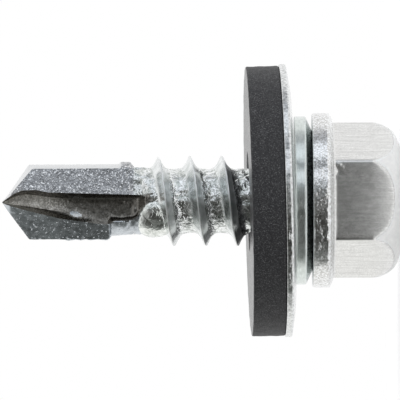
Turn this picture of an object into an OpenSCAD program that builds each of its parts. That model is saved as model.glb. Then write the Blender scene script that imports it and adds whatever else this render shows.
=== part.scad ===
/* [Head] */
// Width of the hexagon across its flats
hex_af = 8; // [7:0.5:10]
// Width across the slightly rounded corners
hex_corner_d = 9.18; // [8.2:0.02:11.4]
// Height of the head from its top face to the bearing face of the flange
head_h = 5.4; // [4.5:0.1:7]
// Radius of the arc that rounds the top of the head
head_round = 2.6; // [2:0.1:3]
// Diameter of the flat that is left on top of the head
head_flat_d = 6.4; // [5:0.1:6.8]
// Diameter of the flange
flange_d = 10.3; // [9.8:0.1:13]
// Thickness of the flange at its rim
flange_t = 0.94; // [0.7:0.02:1.4]
// Height of the bevel on the flange, on the hexagon's side
flange_bevel_h = 0.27; // [0.1:0.01:0.4]
// Width of that bevel, across the screw
flange_bevel_w = 0.43; // [0.2:0.01:0.5]

/* [Shank and thread] */
// Diameter of the plain shank inside the washers
shank_d = 4.3; // [4:0.05:4.6]
// Length from the bearing face of the flange to the tip
screw_l = 18.24; // [16:0.01:30]
// Outside diameter of the thread
thread_d = 5.28; // [5.1:0.02:5.5]
// Core diameter of the thread
core_d = 3.8; // [3.6:0.05:4]
// Distance between turns
pitch = 1.87; // [1.6:0.01:2.2]
// Width of one thread ridge where it meets the core
ridge_w = 1.1; // [0.9:0.05:1.3]
// Width of the crest's own narrow flat
crest_w = 0.06; // [0.04:0.01:0.2]
// Distance from the flange's bearing face to the first full crest on the +X side
first_crest = 5.31; // [5:0.01:6]

/* [Drill point] */
// Width of the drill body across its cutting corners
drill_d = 4.4; // [4.1:0.05:4.6]
// Length of the drill body, back from the tip to the neck
drill_l = 8.7; // [8.5:0.05:9]
// Length of the upper land, back from the tip
upper_land_l = 7.66; // [6.5:0.01:7.8]
// Length of the lower land, back from the tip
lower_land_l = 6.3; // [5.5:0.05:7]
// Length over which the neck behind the lower land narrows
land_runout_l = 1.6; // [0.8:0.1:1.8]
// Slant of a land's end, from its corner to its heel, measured along the screw
land_skew = 0.62; // [0:0.02:0.8]
// Half of the point angle at the cutting corners, in degrees
point_half_angle = 54; // [45:1:60]

/* [Flat washer] */
// Outside diameter of the flat washer
flat_washer_d = 9.9; // [9:0.1:12]
// Thickness of the flat washer
flat_washer_t = 1.05; // [0.8:0.05:1.6]
// Height of the flat washer's chamfer, on the head's side
flat_chamfer_h = 0.38; // [0.2:0.02:0.5]
// Width of that chamfer across the face
flat_chamfer_w = 0.85; // [0.3:0.05:1]

/* [Sealing washer] */
// Diameter of the metal plate
plate_d = 16.1; // [13:0.1:20]
// Thickness of the metal plate
plate_t = 0.6; // [0.5:0.05:1]
// Height by which the plate's rim is pressed towards the rubber
plate_rim_drop = 0.2; // [0.1:0.02:0.3]
// Width of that pressed rim
plate_rim_w = 1.2; // [0.6:0.1:2]
// Width by which the plate stands out past the rubber ring
rubber_inset = 0.1; // [0:0.05:0.5]
// Thickness of the rubber ring
rubber_t = 1.95; // [1.5:0.05:3]
// Radius on the rubber ring's outer edge
rubber_round = 0.12; // [0.05:0.01:0.3]
// Width of the bevel at the rubber's bore, wide enough to clear the thread
rubber_bevel_w = 0.63; // [0.6:0.01:1]
// Depth of that bevel
rubber_bevel_h = 0.35; // [0.2:0.05:0.6]
// Lean of the loose sealing washer about X, in degrees
lean_x = 1.25; // [0:0.05:1.5]
// Lean of the loose sealing washer about Y, in degrees
lean_y = -1.07; // [-1.5:0.01:0]
// Running clearance round the shank, on the radius
bore_clearance = 0.08; // [0.05:0.01:0.1]

/* [Hidden] */
$fn = 72;
eps = 0.01;

// Heights along the screw, up from the head's top face. The plain shank ends inside the
// rubber.
tip_z = head_h + screw_l;
shank_end_in = 0.45;
lean = sqrt(lean_x * lean_x + lean_y * lean_y);
seat_lift = flat_washer_d / 2 * tan(lean) + eps;
seal_z = head_h + flat_washer_t + seat_lift;
shank_top_z = seal_z + plate_t + rubber_t - shank_end_in;

// Radii
hex_r = hex_af / 2;
flange_r = flange_d / 2;
core_r = core_d / 2;
crest_r = thread_d / 2;
drill_r = drill_d / 2;
shank_r = shank_d / 2;
plate_r = plate_d / 2;
flat_bore_r = shank_r + bore_clearance;
seal_bore_r = shank_r + bore_clearance + (plate_t + rubber_t) / 2 * tan(lean);

// Thread: a crest lies on the +X side at crest_z0, and rises by one pitch a turn. The
// ridge grows past the plain shank, falls a little over its last half turn, and then ends
// on the neck of the drill.
crest_z0 = head_h + first_crest;
neck_z = tip_z - drill_l;
turn_steps = 36;
run_in_gap = 0.53;
run_in_turn = 90;
run_out_reach = 0.63;
run_out_turn = 235;
run_out_drop = 0.24;
run_out_close = 35;
run_in_start = thread_angle(shank_top_z + run_in_gap);
run_in_end = run_in_start + run_in_turn;
run_out_end = thread_angle(neck_z + run_out_reach);
run_out_start = run_out_end - run_out_turn;
run_out_low = run_out_end - run_out_close;
run_out_r = crest_r - run_out_drop;
buried_r = core_r - 0.5;
core_foot_r = 0.3;
first_turn = floor(run_in_start / 360) - 1;
last_turn = floor(run_out_end / 360);

function thread_angle(z) = (z - crest_z0) / pitch * 360;

// One pitch of the thread's profile: distance along the screw from the crest, and
// height as a share of the ridge. The flanks are hollow.
flank_w = 0.27 * ridge_w;
flank_share = 0.28;
valley_share = -0.05;
thread_profile = [[-crest_w / 2, 1], [crest_w / 2, 1], [flank_w, flank_share], [ridge_w / 2, 0],
                  [pitch / 2, valley_share], [pitch - ridge_w / 2, 0], [pitch - flank_w, flank_share]];
profile_n = len(thread_profile);

function between(v, v0, v1, r0, r1) = r0 + (r1 - r0) * min(max((v - v0) / (v1 - v0), 0), 1);

// Radius of the crest at an angle along the thread, with its run-in and run-out
function crest_at(a) =
    a < run_out_start ? between(a, run_in_start, run_in_end, core_r, crest_r)
    : a < run_out_low ? between(a, run_out_start, run_out_low, crest_r, run_out_r)
    : a < run_out_end ? between(a, run_out_low, run_out_end, run_out_r, buried_r)
    : 0;
// The core narrows inside the neck of the drill
function core_at(z) = max(core_r - max(z - neck_z, 0), core_foot_r);

// Vertex of the thread's skin: column around the screw, row along it
function thread_vertex(column, row) =
    let (
        turn = floor(row / profile_n),
        p = thread_profile[row - turn * profile_n],
        a = 360 * column / turn_steps,
        ridge_a = a + 360 * (p[0] > pitch / 2 ? turn + 1 : turn),
        z = crest_z0 + pitch * (turn + a / 360) + p[0],
        core = core_at(z),
        r = core + p[1] * max(crest_at(ridge_a) - core, 0)
    )
    [r * cos(a), r * sin(a), z];

// The skin closes on itself around the screw: the last column joins the first one
// a pitch higher up, and a fan of faces closes each end
module thread() {
    row0 = first_turn * profile_n;
    row1 = (last_turn + 1) * profile_n;
    rows = row1 - row0 + 1;
    first_rows = rows + profile_n;
    function index(c, row) =
        c == 0 ? row - row0
        : c < turn_steps ? first_rows + (c - 1) * rows + row - row0
        : row + profile_n - row0;
    columns = concat(
        [for (row = [row0:row1 + profile_n]) thread_vertex(0, row)],
        [for (c = [1:turn_steps - 1]) for (row = [row0:row1]) thread_vertex(c, row)]);
    low = len(columns);
    ends = [[0, 0, crest_z0 + pitch * (first_turn + 0.5)], [0, 0, crest_z0 + pitch * (last_turn + 1.5)]];
    sides = [for (c = [0:turn_steps - 1]) for (row = [row0:row1 - 1]) each [
        [index(c, row), index(c + 1, row + 1), index(c + 1, row)],
        [index(c, row), index(c, row + 1), index(c + 1, row + 1)]]];
    low_cap = concat(
        [for (c = [0:turn_steps - 1]) [low, index(c, row0), index(c + 1, row0)]],
        [for (row = [row0:row0 + profile_n - 1]) [low, index(0, row + 1), index(0, row)]]);
    high_cap = concat(
        [for (c = [0:turn_steps - 1]) [low + 1, index(c + 1, row1), index(c, row1)]],
        [for (row = [row1:row1 + profile_n - 1]) [low + 1, index(0, row), index(0, row + 1)]]);
    polyhedron(concat(columns, ends), concat(sides, low_cap, high_cap));
}

// Hexagon with its top rounded by one large arc
module hex_head() {
    arc_r0 = hex_corner_d / 2 - head_round;
    arc_z = sqrt(head_round * head_round - pow(head_flat_d / 2 - arc_r0, 2));
    intersection() {
        linear_extrude(head_h - flange_t / 2) circle(r = hex_r / cos(30), $fn = 6);
        rotate_extrude() {
            translate([0, arc_z]) square([hex_corner_d / 2, head_h]);
            intersection() {
                translate([arc_r0, arc_z]) circle(r = head_round);
                square([hex_corner_d, arc_z + eps]);
            }
            square([head_flat_d / 2, arc_z + eps]);
        }
    }
}

// Flange: a rim, a bevel and a flat step round the foot of the hexagon
module flange() {
    rim_z = head_h - flange_t;
    step_r = flange_r - flange_bevel_w;
    step_z = rim_z - flange_bevel_h;
    rotate_extrude()
        polygon([[0, step_z], [step_r, step_z], [flange_r, rim_z], [flange_r, head_h], [0, head_h]]);
}

// Drill body. Its outline across the screw changes along the screw, and is made of two
// halves, each turned by half a turn from the other. The tables below are for the half
// that faces -Y: pairs of the distance back from the tip and a measure across (along X)
// or in depth (from the axis towards -Y). From -X to +X a half has the rake up to its
// edge, the flute's low wall, floor and high wall, the heel, and the land up to its
// corner.
rake_across = [[0, 0], [0.1, -0.08], [1.06, -0.39], [2.2, -0.68], [3.4, -0.98], [5.8, -1.33],
               [6.3, -1.33], [6.6, -1.15], [7.6, -1.1], [8, -0.9], [8.4, -0.3]];
low_floor_across = [[0, 0], [1.35, -0.09], [2.2, -0.24], [3.4, -0.45], [5.8, -0.74], [7, -0.7],
                    [8.4, -0.2]];
high_floor_across = [[0, 0], [0.75, 0.28], [1.35, 0.38], [2.2, 0.26], [3.4, 0.1], [8.4, 0.1]];
floor_depth = [[0, 0], [0.35, 0.2], [0.75, 0.33], [1.35, 0.42], [2.6, 0.46], [4, 0.5], [5.8, 0.58],
               [7.6, 0.72], [8.05, 0.9], [8.3, 1.5], [8.42, 2.2]];
heel_across = [[0, 0], [0.35, 0.24], [0.75, 0.5], [1.2, 0.68], [2, 0.71], [2.8, 0.56], [5.8, 0.46],
               [8.4, 0.38]];
heel_depth = [[0, 0.05], [0.2, 0.45], [0.55, 0.95], [0.9, 1.22], [1.3, 1.36], [2, 1.38], [8.4, 1.42]];
stations = [0.06, 0.2, 0.35, 0.55, 0.75, 1, 1.3, 1.6, 1.84, 2.2, 2.8, 3.4, 4.6, 5.8, 6.3, 6.44, 6.6, 7,
            7.4, 7.66, 7.8, 8, 8.2, 8.4, 8.6, 8.8];

// The knee is the ridge between the land and the point's relief face. It starts at the
// heel, runs out across the screw, and ends beside the corner.
knee_start = 0.55;
knee_start_across = 0.49;
knee_slope = 1.147;
knee_end_across = 1.95;
knee_end_depth = 1.02;
round_from = 1.84;

// The rake is a plane that rises from the cutting corner to its edge. It grows from nothing
// over the first half millimetre of the tip.
rake_slope = 0.7;
rake_lift = 0.12;
rake_growth = [[0, 0.12], [0.1, 0.4], [0.3, 0.85], [0.5, 1]];

// Flute: how far its low wall's foot may lie out towards the edge, where on each wall its
// middle point lies and how deep that is, and how much the floor is hollowed
wall_foot_share = 0.92;
low_wall_at = 0.55;
low_wall_depth = 0.22;
high_wall_at = 0.65;
high_wall_depth = 0.3;
floor_hollow = 0.93;
neck_from = 5;

// Narrow margin behind each cutting corner, and the round neck behind the lands
margin_from = 1.3;
margin_full = 2;
margin_w = 0.14;
neck_r = core_r + 0.02;
neck_swell = 0.1;
rake_step = 0.14;
corner_step = 0.12;
heel_step = 0.5;
foot_l = 0.25;
foot_share = 0.8;

function mix(a, b, t) = a + (b - a) * t;
// Point between two others, turning about the axis
function arc_between(p, q, t) =
    let (r = mix(norm(p), norm(q), t), a = mix(atan2(p[1], p[0]), atan2(q[1], q[0]), t))
    [r * cos(a), r * sin(a)];
function inside(p, r) = [p[0], min(p[1], sqrt(r * r - p[0] * p[0]))];

// Rake from its corner to just short of its edge. Past low_end it is the round neck.
function rake_points(corner, start, edge, neck, neck_edge, low_t) =
    [mix(corner, [-neck, 0], low_t),
     mix(start, arc_between([-neck, 0], neck_edge, 1 / 3), low_t),
     mix(mix(start, edge, 0.5), arc_between([-neck, 0], neck_edge, 2 / 3), low_t)];

// Land point, which moves out or in to the round neck past the land's slanted end
function land_point(p, back, heel_x, high_end) =
    let (
        share = between(p[0], heel_x, drill_r, 0, 1),
        end = high_end + land_skew * (1 - share),
        t = between(back, end, end + mix(heel_step, corner_step, share), 0, 1)
    )
    mix(p, p * neck_r / norm(p), t);

// Knee of the land at a distance back from the tip
function knee_point(back, heel, top) =
    let (x = min(max(knee_start_across + (back - knee_start) * knee_slope, heel[0] + eps), knee_end_across))
    back <= knee_start ? mix(heel, top, 0.5)
    : [x, mix(heel[1], knee_end_depth, (x - heel[0]) / (knee_end_across - heel[0]))];

// Half of the outline as [across, depth]
function half_outline(back, low_end, high_end) =
    let (
        corner = min(back * tan(point_half_angle), drill_r),
        low_t = between(back, low_end, low_end + rake_step, 0, 1),
        margin = between(back, margin_from, margin_full, 0, margin_w),
        growth = lookup(back, rake_growth),
        lip = (drill_r - corner) * rake_slope * growth,
        start = [-sqrt(corner * corner - margin * margin), lip + margin],
        neck = neck_r + between(back, low_end, low_end + land_runout_l, neck_swell, 0),
        edge_x = lookup(back, rake_across),
        flat_edge = [edge_x, ((drill_r + edge_x) * rake_slope + rake_lift) * growth],
        neck_edge = [flat_edge[0], sqrt(neck * neck - flat_edge[0] * flat_edge[0])],
        edge = mix(flat_edge, neck_edge, low_t),
        heel = [lookup(back, heel_across), lookup(back, heel_depth)],
        top = [corner, -lip],
        knee = knee_point(back, heel, top),
        land = [for (p = [heel, mix(heel, knee, 0.5), knee,
                          back > round_from ? arc_between(knee, top, 1 / 3) : mix(knee, top, 1 / 3),
                          back > round_from ? arc_between(knee, top, 2 / 3) : mix(knee, top, 2 / 3)])
            land_point(p, back, heel[0], high_end)],
        depth = lookup(back, floor_depth),
        x1 = max(lookup(back, low_floor_across), edge[0] * wall_foot_share),
        x2 = lookup(back, high_floor_across),
        limit = back > neck_from ? neck_r : drill_r
    )
    concat(
        rake_points([-corner, lip], start, flat_edge, neck, neck_edge, low_t),
        [edge,
         inside([mix(edge[0], x1, low_wall_at), mix(depth, edge[1], low_wall_depth)], limit),
         inside([x1, depth], limit),
         inside([(x1 + x2) / 2, depth * floor_hollow], limit),
         inside([x2, depth], limit),
         inside([mix(x2, land[0][0], high_wall_at), mix(depth, land[0][1], high_wall_depth)], limit)],
        land);

// Whole outline, counter-clockwise from the lower corner
function drill_outline(back) = concat(
    [for (p = half_outline(back, lower_land_l, upper_land_l)) [p[0], -p[1]]],
    [for (p = half_outline(back, upper_land_l, lower_land_l)) [-p[0], p[1]]]);

// The drill body as a loft of outlines. Its foot narrows inside the thread's core.
module drill() {
    foot = stations[len(stations) - 1] + foot_l;
    outlines = concat([for (back = stations) [for (p = drill_outline(back)) [p[0], p[1], tip_z - back]]],
                      [[for (p = drill_outline(foot)) [foot_share * p[0], foot_share * p[1], tip_z - foot]]]);
    n = len(outlines[0]);
    last = len(outlines) - 1;
    tip = n * (last + 1);
    sides = [for (i = [0:last - 1]) for (j = [0:n - 1]) each [
        [i * n + j, i * n + (j + 1) % n, (i + 1) * n + (j + 1) % n],
        [i * n + j, (i + 1) * n + (j + 1) % n, (i + 1) * n + j]]];
    tip_cap = [for (j = [0:n - 1]) [tip, (j + 1) % n, j]];
    foot_cap = [for (j = [0:n - 1]) [tip + 1, last * n + j, last * n + (j + 1) % n]];
    polyhedron(concat([for (o = outlines) each o], [[0, 0, tip_z], [0, 0, tip_z - foot]]),
               concat(sides, tip_cap, foot_cap));
}

module screw() {
    cone_r = core_r - 0.1;
    color([0.78, 0.79, 0.8]) {
        hex_head();
        flange();
        translate([0, 0, head_h - eps]) cylinder(r = shank_r, h = shank_top_z - head_h + eps);
        translate([0, 0, shank_top_z - eps])
            cylinder(r1 = shank_r, r2 = cone_r, h = shank_r - cone_r + eps);
        thread();
        drill();
    }
}

module flat_washer() {
    color([0.5, 0.51, 0.5])
        translate([0, 0, head_h])
            rotate_extrude()
                polygon([[flat_bore_r, 0], [flat_washer_d / 2 - flat_chamfer_w, 0],
                         [flat_washer_d / 2, flat_chamfer_h], [flat_washer_d / 2, flat_washer_t],
                         [flat_bore_r, flat_washer_t]]);
}

// Places a piece on the leaning axis of the loose sealing washer
module on_seal_axis() {
    translate([0, 0, seal_z]) rotate([lean_x, lean_y, 0]) children();
}

module seal_plate() {
    r = plate_r;
    color([0.7, 0.71, 0.72])
        on_seal_axis()
            rotate_extrude()
                polygon([[seal_bore_r, 0], [r - plate_rim_w, 0], [r, plate_rim_drop],
                         [r, plate_t], [seal_bore_r, plate_t]]);
}

module seal_rubber() {
    r = plate_r - rubber_inset;
    edge_r = r - rubber_round;
    color([0.16, 0.16, 0.17])
        on_seal_axis()
            translate([0, 0, plate_t])
                rotate_extrude() {
                    polygon([[seal_bore_r, 0], [r, 0], [r, rubber_t - rubber_round], [edge_r, rubber_t],
                             [seal_bore_r + rubber_bevel_w, rubber_t],
                             [seal_bore_r, rubber_t - rubber_bevel_h]]);
                    translate([edge_r, rubber_t - rubber_round]) circle(r = rubber_round);
                }
}

screw();
flat_washer();
seal_plate();
seal_rubber();
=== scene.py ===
"""The looks of a self-drilling screw with two washers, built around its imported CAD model.

Shapes are worked out in millimetres, in the CAD frame: Z runs from the head's top face to the
drill point. They become metres when a mesh is made.
"""

import math

import bpy
import numpy as np
from mathutils import Matrix, Vector


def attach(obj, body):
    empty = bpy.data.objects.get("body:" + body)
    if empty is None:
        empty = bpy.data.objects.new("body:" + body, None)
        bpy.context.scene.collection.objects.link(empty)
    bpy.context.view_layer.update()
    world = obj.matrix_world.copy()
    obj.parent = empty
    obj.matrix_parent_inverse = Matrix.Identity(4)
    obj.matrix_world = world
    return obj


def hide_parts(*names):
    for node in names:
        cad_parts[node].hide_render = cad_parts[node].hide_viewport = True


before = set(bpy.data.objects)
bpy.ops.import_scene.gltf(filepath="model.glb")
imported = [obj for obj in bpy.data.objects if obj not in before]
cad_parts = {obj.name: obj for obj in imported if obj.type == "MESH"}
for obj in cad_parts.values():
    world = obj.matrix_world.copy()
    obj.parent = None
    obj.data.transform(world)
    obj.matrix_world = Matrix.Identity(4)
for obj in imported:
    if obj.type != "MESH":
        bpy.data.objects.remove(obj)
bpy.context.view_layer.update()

MM = 0.001
SHARP_ANGLE = math.radians(40)
JOINED_SHARP_ANGLE = math.radians(42)

# Head: hexagon, dome and flange
HEX_R = 4.0
HEX_CORNER_R = 4.59
HEAD_H = 5.4
# Radius and height of the dome's outline, from the top face to the corners
DOME_LINE = [(2.1, 0.0), (2.9, 0.16), (3.5, 0.33), (3.85, 0.5), (4.0, 0.61), (4.2, 0.83), (4.4, 1.17),
             (4.53, 1.55), (4.62, 1.95)]
# Rounding where the hexagon meets the flange
FOOT_R = 0.07
FLANGE_R = 5.15
FLANGE_STEP_R = 4.72
FLANGE_STEP_Z = 4.19
# Shank and thread
SHANK_R = 2.15
CORE_R = 1.9
CREST_R = 2.64
PITCH = 1.87
RIDGE_W = 1.36
CREST_W = 0.06
FLANK_W = 0.4
CREST_Z0 = 10.71
THREAD_FROM = 9.23
# Drill point
TIP_Z = 23.64
NECK_Z = TIP_Z - 8.7
RUN_OUT_Z = NECK_Z + 0.48
THREAD_TO = NECK_Z + 0.63
DRILL_R = 2.2
NECK_R = 1.92
# Washers
WASHER_R = 4.95
WASHER_T = 1.05
WASHER_BORE_R = 2.23
WASHER_CHAMFER_R = 4.1
WASHER_CHAMFER_H = 0.38
SEAL_Z = 6.602193
PLATE_R = 8.05
PLATE_T = 0.6
PLATE_CHAMFER_R = 6.85
PLATE_CHAMFER_H = 0.2
SEAL_BORE_R = 2.275
RUBBER_R = 7.95
RUBBER_T = 1.95
FREE_Z = PLATE_T + RUBBER_T
BEVEL_R = 2.9
BEVEL_H = 0.35
LEAN = (math.radians(1.25), math.radians(-1.07))

# The screw's finishes, by their number in its list of materials
(TOP, HEXAGON, FLANGE, PLAIN, FLANK, VALLEY, LAND, FLUTE, RAKE, FLUTE_FLOOR, CREST, TORN, LIGHTENED_HEAD_FLANK,
 HIGHLIGHT_SPOT) = range(14)


# Noise and small helpers

def hashed(ix, iy, iz, seed):
    """A number from 0 to 1 for each cell of a grid."""
    h = (ix * 73856093) ^ (iy * 19349663) ^ (iz * 83492791) ^ (seed * 40503)
    for _ in range(2):
        h &= 0xFFFFFFFF
        h = ((h ^ (h >> 16)) * 0x45D9F3B) & 0xFFFFFFFF
    return ((h ^ (h >> 16)) & 0xFFFFFF) / float(0xFFFFFF)


def noise(points, size, seed):
    """Smooth noise from -1 to 1 at each point, with features of this size."""
    q = np.asarray(points, float) / size + 500.0
    cell = np.floor(q).astype(np.int64)
    f = q - cell
    f = f * f * (3 - 2 * f)
    total = np.zeros(len(q))
    for dx in (0, 1):
        wx = f[:, 0] if dx else 1 - f[:, 0]
        for dy in (0, 1):
            wy = f[:, 1] if dy else 1 - f[:, 1]
            for dz in (0, 1):
                wz = f[:, 2] if dz else 1 - f[:, 2]
                corner = hashed(cell[:, 0] + dx, cell[:, 1] + dy, cell[:, 2] + dz, seed)
                total += wx * wy * wz * corner
    return 2 * total - 1


def smooth(x, low, high):
    """A smooth step, 0 up to low and 1 from high on."""
    t = np.clip((np.asarray(x, float) - low) / (high - low), 0, 1)
    return t * t * (3 - 2 * t)


def soft_min(a, b, k):
    """The smaller value, rounded off over k where the two cross."""
    return 0.5 * (a + b - np.sqrt((a - b) ** 2 + k * k))


def soft_max(a, b, k):
    """The larger value, rounded off over k where the two cross."""
    return 0.5 * (a + b + np.sqrt((a - b) ** 2 + k * k))


def make_mesh(name, verts, faces, kinds, materials):
    """A mesh object from points in millimetres, its faces, and each face's material number."""
    mesh = bpy.data.meshes.new(name)
    mesh.from_pydata((np.asarray(verts, float) * MM).tolist(), [], faces)
    for m in materials:
        mesh.materials.append(m)
    mesh.polygons.foreach_set("material_index", np.asarray(kinds, np.int32))
    mesh.shade_smooth()
    mesh.set_sharp_from_angle(angle=SHARP_ANGLE)
    mesh.update()
    obj = bpy.data.objects.new(name, mesh)
    bpy.context.scene.collection.objects.link(obj)
    return obj


def ring_faces(rings, columns):
    """Quads between rings of equal length, then a fan to one last point at each end."""
    faces = []
    for i in range(rings - 1):
        for j in range(columns):
            k = (j + 1) % columns
            faces.append((i * columns + j, i * columns + k, (i + 1) * columns + k, (i + 1) * columns + j))
    first, last = rings * columns, rings * columns + 1
    for j in range(columns):
        k = (j + 1) % columns
        faces.append((first, k, j))
        faces.append((last, (rings - 1) * columns + j, (rings - 1) * columns + k))
    return faces


def polyline(points, spacing):
    """Points along straight runs, no further apart than the spacing."""
    out = [points[0]]
    for a, b in zip(points, points[1:]):
        n = max(1, int(math.ceil(math.dist(a, b) / spacing)))
        out += [(a[0] + (b[0] - a[0]) * i / n, a[1] + (b[1] - a[1]) * i / n) for i in range(1, n + 1)]
    return out


# Head, flange and plain shank

def head_columns():
    """Angles round the head, closer together near the hexagon's corners."""
    near = [0, 0.2, 0.4, 0.65, 1.0, 1.5, 2.2, 3.0]
    far = list(np.arange(4.0, 30.1, 1.3))
    half = [a for a in near + far if a < 30]
    sector = half + [30.0] + [60 - a for a in reversed(half[1:])]
    return np.radians([60 * s + a for s in range(6) for a in sector])


def build_head():
    """Closed skin of the dome, the hexagon, the flange and the plain shank."""
    theta = head_columns()
    n = len(theta)
    nearest = np.round((np.degrees(theta) - 30) / 60)
    offset = np.degrees(theta) - 30 - 60 * nearest
    cos_a = np.cos(np.radians(offset))
    cos_b = np.cos(np.radians(60 - np.abs(offset)))
    hex_r = HEX_R / soft_max(cos_a, cos_b, 0.009)
    hex_r = soft_min(hex_r, HEX_CORNER_R + 0.02, 0.05)
    rings, kinds = [], []

    def ring(r, z, kind):
        rings.append(np.stack([r * np.cos(theta), r * np.sin(theta), np.full(n, float(z))], 1))
        kinds.append(np.zeros(n, int) + kind)

    for r in (0.6, 1.2, 1.7, 2.0):
        ring(np.full(n, r), 0.0, TOP)
    heights = np.concatenate([np.linspace(0.02, 1.0, 40), np.linspace(1.03, 1.95, 20)])
    radii = np.interp(heights, [z for r, z in DOME_LINE], [r for r, z in DOME_LINE])
    radii = np.convolve(np.pad(radii, 3, mode="edge"), np.ones(7) / 7, mode="valid")
    radii[0] = DOME_LINE[0][0]
    for r, z in zip(radii, heights):
        edge_kind = np.where(r < hex_r + 0.01, CREST, HEXAGON)
        ring(soft_min(hex_r, r, 0.03), z, np.where(r < hex_r - 0.07, TOP, edge_kind))
    side = soft_min(hex_r, HEX_CORNER_R + 0.02, 0.035)
    for z in np.linspace(2.1, FLANGE_STEP_Z - 0.12, 14):
        ring(side, z, HEXAGON)
    for a in (30, 55, 80):
        c = math.radians(a)
        ring(side + FOOT_R * (1 - math.cos(c)), FLANGE_STEP_Z - FOOT_R + FOOT_R * math.sin(c), HEXAGON)
    for share in (0.25, 0.5, 0.8, 1.0):
        ring(side + FOOT_R + (FLANGE_STEP_R - side - FOOT_R) * share, FLANGE_STEP_Z + 0.015 * share, FLANGE)
    rim = polyline([(FLANGE_STEP_R, FLANGE_STEP_Z + 0.02), (5.1, 4.4), (5.14, 4.46), (FLANGE_R, 4.53),
                    (FLANGE_R, 5.28), (5.12, 5.36), (5.05, HEAD_H)], 0.075)
    for r, z in rim[1:]:
        ring(np.full(n, r), z, FLANGE)
    for r in (4.6, 3.6, 2.6):
        ring(np.full(n, r), HEAD_H, PLAIN)
    for r, z in polyline([(SHANK_R, HEAD_H), (SHANK_R, 8.75), (CORE_R, 9.0), (1.6, 9.3)], 0.5):
        ring(np.full(n, r), z, PLAIN)

    verts = np.concatenate(rings + [np.array([[0, 0, 0], [0, 0, 9.4]])])
    faces = ring_faces(len(rings), n)
    face_kinds = np.concatenate(kinds[1:] + [[TOP, PLAIN] * n])
    # Hammered skin on the flange, faint waves on the hexagon and one rough corner
    r = np.hypot(verts[:, 0], verts[:, 1])
    out = verts[:, :2] / np.maximum(r, 0.01)[:, None]
    rim_mask = smooth(verts[:, 2], 4.0, 4.3) * smooth(-verts[:, 2], -5.42, -5.3) * smooth(r, 4.3, 4.7)
    rough = 0.008 * noise(verts, 0.34, 3) + 0.006 * noise(verts, 0.15, 4)
    flat_mask = smooth(verts[:, 2], 0.1, 0.6) * smooth(-verts[:, 2], -4.1, -3.9)
    waves = 0.005 * noise(verts, 1.6, 5)
    corner = np.exp(-((verts[:, 0] - 1.75) ** 2 / 0.16 + (verts[:, 2] - 3.95) ** 2 / 0.05))
    corner = corner * (verts[:, 1] < 0)
    push = rim_mask * (rough - 0.02) + flat_mask * (waves + corner * 0.09 * noise(verts, 0.16, 6))
    verts[:, :2] += out * push[:, None]
    edge = smooth(r, 4.55, 4.9) * (np.abs(verts[:, 2] - 4.3) < 0.25)
    verts[:, 2] += edge * 0.03 * noise(verts, 0.3, 7)
    return verts, [tuple(reversed(f)) for f in faces], face_kinds


# Thread

TURN_STEPS = 150
# Places of the profile's points along one pitch, from crest to crest
NEAR_CREST = [0.03, 0.06, 0.1, 0.15, 0.21, 0.28, 0.36, 0.45, 0.55, 0.66, 0.78]
PROFILE = np.round([0] + NEAR_CREST + [PITCH / 2] + [PITCH - p for p in reversed(NEAR_CREST)], 4)


def ridge_share(p):
    """Height of the ridge at a distance from its crest, as a share."""
    t = np.clip((np.abs(p) - CREST_W / 2) / (RIDGE_W / 2 - CREST_W / 2), 0, 1)
    valley = -0.05 * smooth(np.abs(p), RIDGE_W / 2 - 0.15, PITCH / 2)
    return (1 - t) ** 2.2 + valley


def crest_at(a):
    """Radius of the crest at an angle along the thread, in degrees."""
    run_in = (THREAD_FROM - CREST_Z0) / PITCH * 360
    run_out = (RUN_OUT_Z - CREST_Z0) / PITCH * 360
    start = CORE_R + (CREST_R - CORE_R) * smooth(a, run_in, run_in + 90)
    # The crest first sinks slowly, then it drops into the core
    sinks, drops = run_out - 235, run_out - 70
    down = CREST_R - 0.3 * smooth(a, sinks, drops)
    end = down + (CORE_R - 0.5 - down) * smooth(a, drops, run_out)
    return np.where(a < sinks, start, np.where(a > run_out, 0.0, end))


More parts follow.
